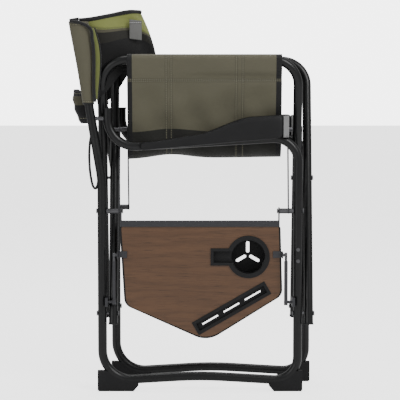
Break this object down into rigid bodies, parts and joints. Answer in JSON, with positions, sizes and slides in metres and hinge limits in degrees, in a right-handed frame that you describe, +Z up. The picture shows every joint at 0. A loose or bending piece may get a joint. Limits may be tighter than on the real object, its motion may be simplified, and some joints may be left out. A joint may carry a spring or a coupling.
{
  "type": "folding camp chair",
  "caption": "Folding steel-tube camp chair shown folded, with sling seat, padded armrests and a hang-down side table with cup holder.",
  "frame": {"origin": "centre of the folded chair's bounding box, on the floor", "axes": "+Z up, the chair faces -Y, the sitter's left is +X and the table hangs on the -X side"},
  "size_m": [0.184, 0.5966, 0.933],
  "materials": {
    "frame_paint": "satin black powder coat",
    "black_plastic": "matte moulded",
    "rivet_steel": "satin",
    "dark_steel": "satin",
    "walnut": "laminate, satin",
    "khaki_cloth": "woven polyester",
    "green_cloth": "woven polyester",
    "black_cloth": "woven",
    "tag": "woven label"
  },
  "bodies": {
    "right_side": {"right_base_tube": "frame_paint", "right_arm_tube": "frame_paint", "right_armrest_pad": "black_plastic", "right_foot_rear": "black_plastic", "right_foot_front": "black_plastic", "right_arm_spacer": "rivet_steel", "right_leg_rivets": "rivet_steel", "right_upright_cap": "black_plastic", "right_arm_cap": "black_plastic", "right_foot_pins": "rivet_steel", "right_strap_pins": "rivet_steel", "table_pivot_pins": "rivet_steel", "stay_brackets": "dark_steel", "backrest_cloth": "green_cloth", "rear_pocket": "black_cloth", "back_tag": "tag", "rear_webbing": "black_cloth"},
    "left_side": {"left_base_tube": "frame_paint", "left_arm_tube": "frame_paint", "left_armrest_pad": "black_plastic", "left_foot_rear": "black_plastic", "left_foot_front": "black_plastic", "left_arm_spacer": "rivet_steel", "left_leg_rivets": "rivet_steel", "left_upright_cap": "black_plastic", "left_arm_cap": "black_plastic", "left_foot_pins": "rivet_steel", "left_strap_pins": "rivet_steel"},
    "seat_frame_a": {"seat_frame_a_tube": "frame_paint", "seat_frame_a_end_plugs": "black_plastic", "cross_pins": "rivet_steel", "seat_sling": "khaki_cloth"},
    "seat_frame_b": {"seat_frame_b_tube": "frame_paint", "seat_frame_b_end_plugs": "black_plastic"},
    "right_straps": {"right_link_strap_rear": "dark_steel", "right_link_strap_front": "dark_steel", "right_strap_rivets": "rivet_steel"},
    "left_straps": {"left_link_strap_rear": "dark_steel", "left_link_strap_front": "dark_steel", "left_strap_rivets": "rivet_steel"},
    "side_table": {"table_cup_holder": "black_plastic", "table_phone_tray": "black_plastic", "table_board": "walnut", "table_edge_trim": "black_plastic", "table_hinge_rail": "dark_steel", "table_ear_rear": "dark_steel", "table_ear_front": "dark_steel", "table_stay_lugs": "dark_steel"},
    "stay_tubes": {"stay_tubes": "dark_steel"},
    "stay_rods": {"stay_rods": "rivet_steel", "stay_rivets": "rivet_steel"}
  },
  "joints": [
    {"name": "unfold", "type": "hinge", "parent": "right_side", "child": "seat_frame_a", "pos_m": [-0.064, -0.01838, 0.192], "axis": [0, 1, 0], "range_deg": [0, 53.81], "deforming": ["backrest_cloth", "rear_pocket", "back_tag"]},
    {"name": "cross_pivot", "type": "hinge", "parent": "seat_frame_a", "child": "seat_frame_b", "pos_m": [0.001, -0.01838, 0.52063], "axis": [0, 1, 0], "range_deg": [-107.72, 0.1], "deforming": ["seat_sling"]},
    {"name": "left_foot_pivot", "type": "hinge", "parent": "seat_frame_b", "child": "left_side", "pos_m": [0.066, -0.01838, 0.192], "axis": [0, 1, 0], "range_deg": [-0.1, 53.91]},
    {"name": "right_strap_pivot", "type": "hinge", "parent": "right_side", "child": "right_straps", "pos_m": [-0.064, -0.01838, 0.443], "axis": [0, 1, 0], "range_deg": [-0.1, 94.95]},
    {"name": "left_strap_pivot", "type": "hinge", "parent": "left_side", "child": "left_straps", "pos_m": [0.066, -0.01838, 0.443], "axis": [0, 1, 0], "range_deg": [-94.95, 0.1]},
    {"name": "table_hinge", "type": "hinge", "parent": "right_side", "child": "side_table", "pos_m": [-0.064, -0.01838, 0.443], "axis": [0, 1, 0], "range_deg": [0, 90]},
    {"name": "stay_swing", "type": "hinge", "parent": "right_side", "child": "stay_tubes", "pos_m": [-0.083, -0.01838, 0.222], "axis": [0, 1, 0], "range_deg": [-20.03, 0.1]},
    {"name": "stay_slide", "type": "slide", "parent": "stay_tubes", "child": "stay_rods", "axis": [0, 0, 1], "range_m": [-0.0005, 0.14078]}
  ],
  "couplings": [
    {"joint": "cross_pivot", "follows": "unfold", "ratio": -2},
    {"joint": "left_foot_pivot", "follows": "unfold", "ratio": 1},
    {"joint": "right_strap_pivot", "follows": "unfold", "ratio": 1.7627},
    {"joint": "left_strap_pivot", "follows": "unfold", "ratio": -1.7627},
    {"joint": "stay_swing", "follows": "table_hinge", "ratio": -0.2214},
    {"joint": "stay_slide", "follows": "table_hinge", "m_per_rad": 0.089306}
  ]
}
